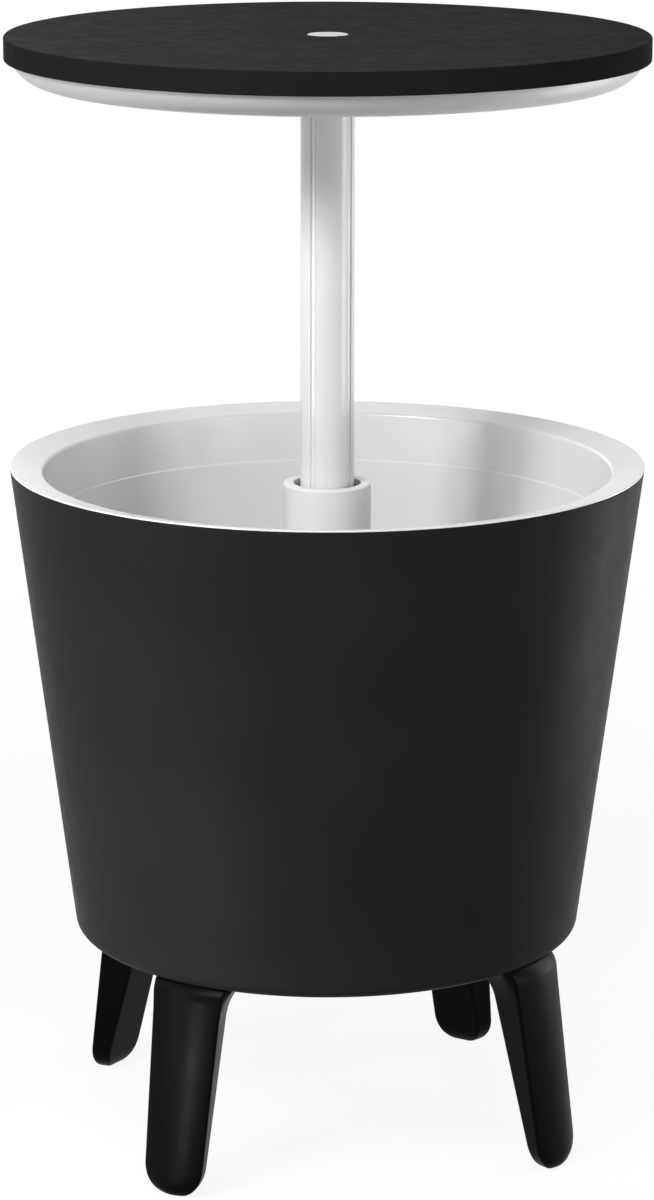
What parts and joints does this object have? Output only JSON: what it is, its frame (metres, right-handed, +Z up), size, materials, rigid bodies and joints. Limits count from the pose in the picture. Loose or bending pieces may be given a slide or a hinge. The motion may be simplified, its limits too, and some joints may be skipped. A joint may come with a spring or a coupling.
{
  "type": "cooler table",
  "caption": "Round garden drinks cooler on legs, with a white tub round a centre column; its lid lifts on a keyed pole and locks to become a table.",
  "frame": {"origin": "on the floor, under the middle of the table top, between the four feet", "axes": "+Z up along the pole; -Y to the front, so the legs stand on the four diagonals; +X to the right as seen from the front; the drain is at the back, towards +Y"},
  "size_m": [0.495, 0.495, 0.8719],
  "materials": {
    "shell_plastic": "black, finely textured",
    "top_plastic": "black, finely textured",
    "leg_plastic": "black, smooth satin",
    "liner_plastic": "white, smooth",
    "column_plastic": "white, smooth",
    "dish_plastic": "off-white, satin",
    "pole_plastic": "white, glossy",
    "cap_plastic": "pale grey, satin",
    "insert_plastic": "dark grey, smooth",
    "rubber": "black, soft",
    "steel": "zinc plated"
  },
  "bodies": {
    "base": {"outer_shell": "shell_plastic", "inner_liner": "liner_plastic", "leg_front_left": "leg_plastic", "leg_front_right": "leg_plastic", "leg_back_right": "leg_plastic", "leg_back_left": "leg_plastic", "centre_column": "column_plastic", "column_gasket": "rubber", "sleeve_ring": "steel", "drain_fitting": "insert_plastic", "drain_gasket": "rubber", "drain_nut": "insert_plastic", "leg_screw_1": "steel", "leg_screw_2": "steel", "leg_screw_3": "steel", "leg_screw_4": "steel", "leg_screw_5": "steel", "leg_screw_6": "steel", "leg_screw_7": "steel", "leg_screw_8": "steel", "liner_screw_1": "steel", "liner_screw_2": "steel", "liner_screw_3": "steel", "liner_screw_4": "steel", "column_screw_1": "steel", "column_screw_2": "steel", "column_screw_3": "steel", "column_screw_4": "steel"},
    "guide": {"guide_sleeve": "insert_plastic"},
    "table": {"table_top": "top_plastic", "table_underside": "dish_plastic", "pole": "pole_plastic", "pole_head": "insert_plastic", "pole_foot": "insert_plastic", "head_pin": "steel", "foot_pin": "steel", "centre_screw": "steel", "top_cap": "cap_plastic", "lid_screw_1": "steel", "lid_screw_2": "steel", "lid_screw_3": "steel", "lid_screw_4": "steel", "lid_screw_5": "steel", "lid_screw_6": "steel"},
    "drain_plug": {"drain_plug": "insert_plastic", "plug_seal": "rubber"}
  },
  "joints": [
    {"name": "table_turn", "type": "hinge", "parent": "base", "child": "guide", "pos_m": [0, 0, 0.498], "axis": [0, 0, 1], "range_deg": [0, 45]},
    {"name": "table_lift", "type": "slide", "parent": "guide", "child": "table", "axis": [0, 0, 1], "range_m": [-0.3025, 0]},
    {"name": "drain_plug_pull", "type": "slide", "parent": "base", "child": "drain_plug", "axis": [0, 0, -1], "range_m": [0, 0.025]}
  ]
}
